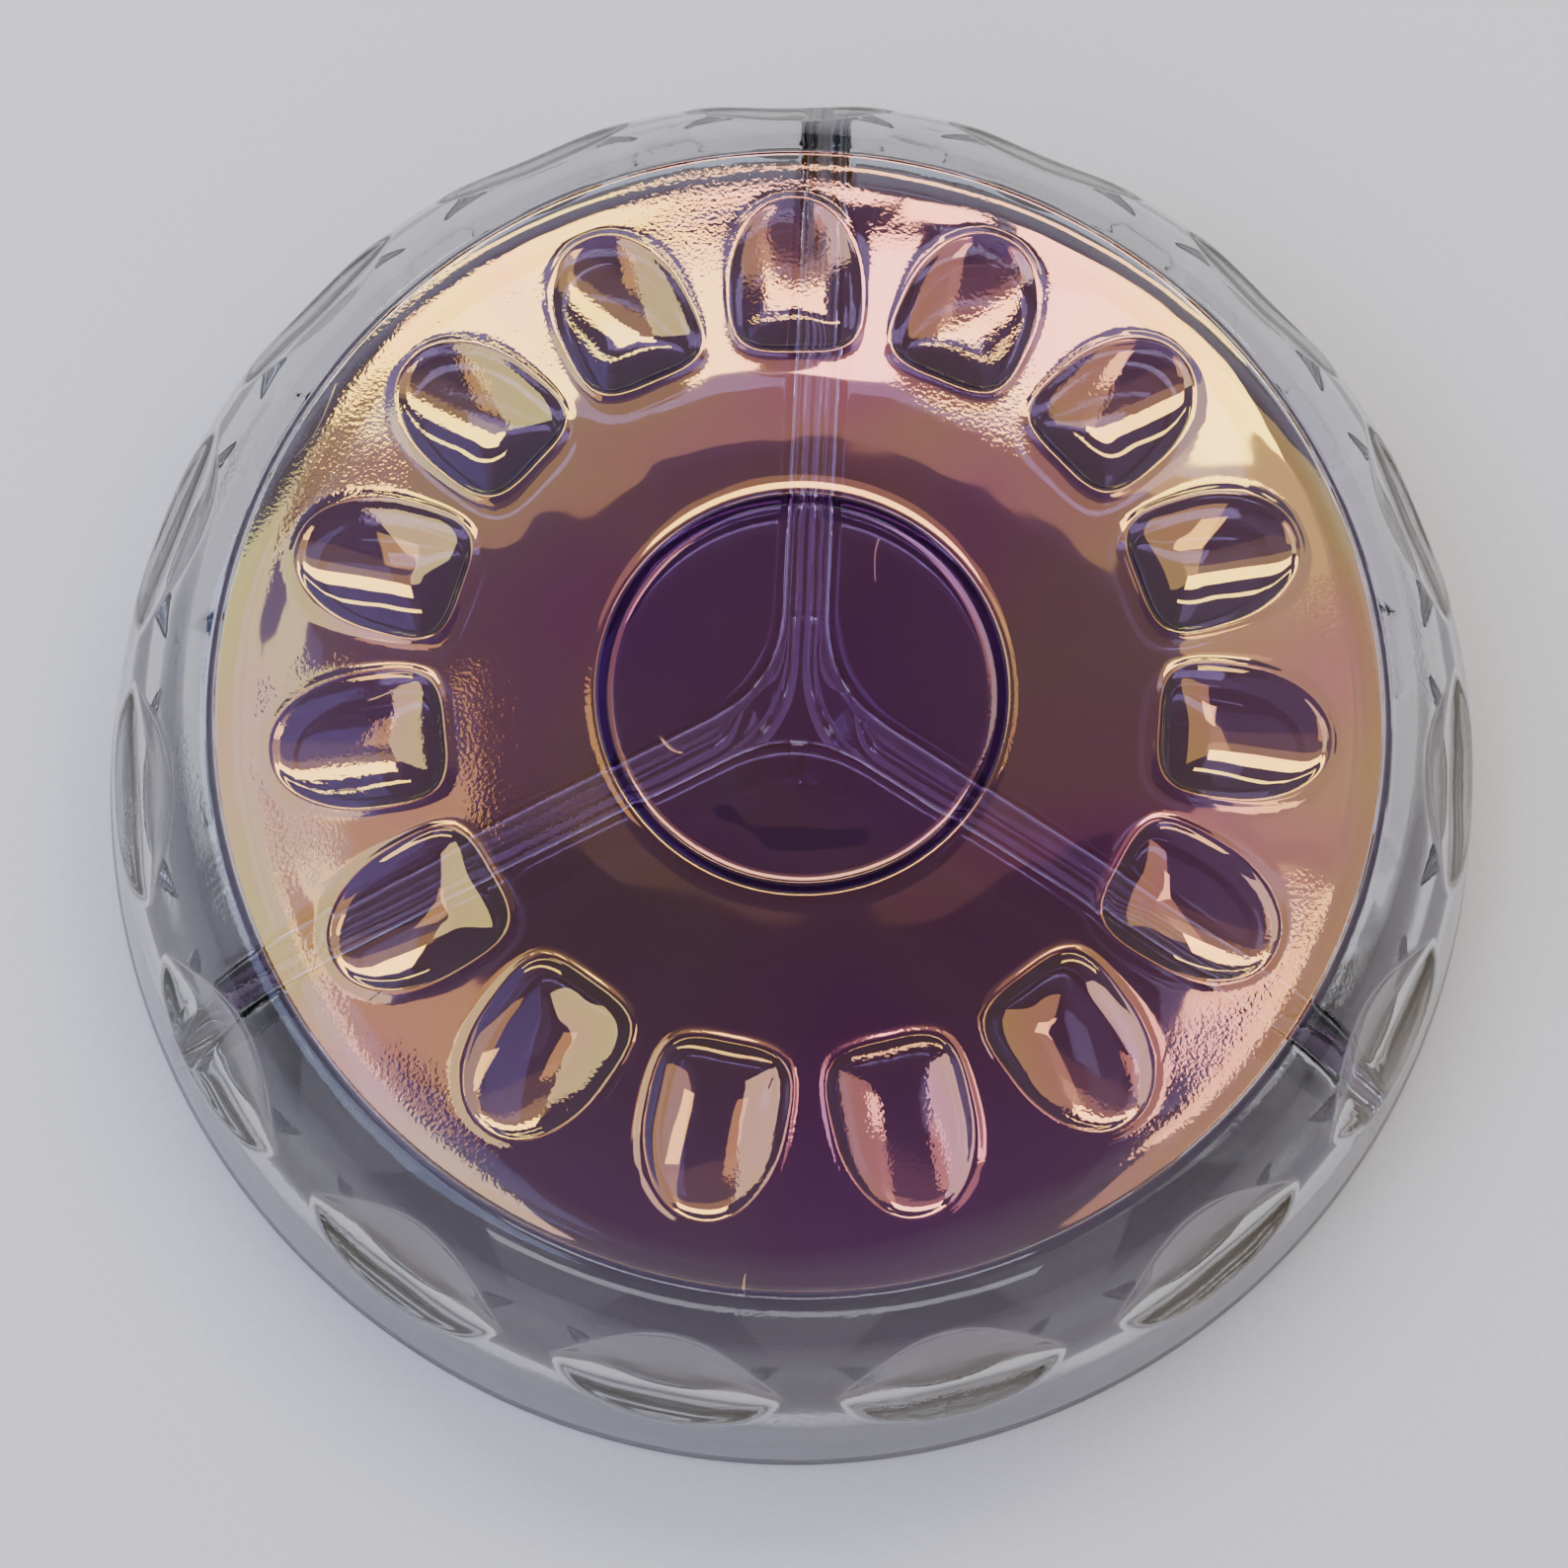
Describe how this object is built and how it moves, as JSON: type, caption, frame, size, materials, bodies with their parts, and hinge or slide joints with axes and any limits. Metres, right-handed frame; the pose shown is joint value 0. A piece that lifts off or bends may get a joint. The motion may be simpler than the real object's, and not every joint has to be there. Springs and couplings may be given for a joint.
{
  "type": "divided relish dish",
  "caption": "Round pressed-glass divided dish, turned over on its rim: thumbprinted domed underside, scalloped wall with almond ovals, Y-shaped divider inside.",
  "frame": {"origin": "centre of the rim circle, on the surface that the turned-over dish stands on", "axes": "+Z is the dish's axis and points out of its underside, because the dish is modelled turned over on its rim; +Y is along one divider arm"},
  "size_m": [0.2798, 0.2798, 0.069],
  "materials": {
    "amethyst_glass": "fire-polished amethyst pressed glass with an iridescent film outside",
    "lustred_glass": "glossy, coppery pink to gold carnival lustre over pale amethyst glass",
    "smoke_glass": "glossy, nearly clear smoke-grey glass with a thin iridescent film"
  },
  "bodies": {
    "root": {"centre_disc": "amethyst_glass", "standing_ring": "amethyst_glass", "thumbprint_base": "lustred_glass", "heel": "smoke_glass", "side_wall": "smoke_glass", "rim": "smoke_glass", "divider_hub": "amethyst_glass", "divider_arm_1": "smoke_glass", "divider_arm_2": "smoke_glass", "divider_arm_3": "smoke_glass"}
  },
  "joints": []
}
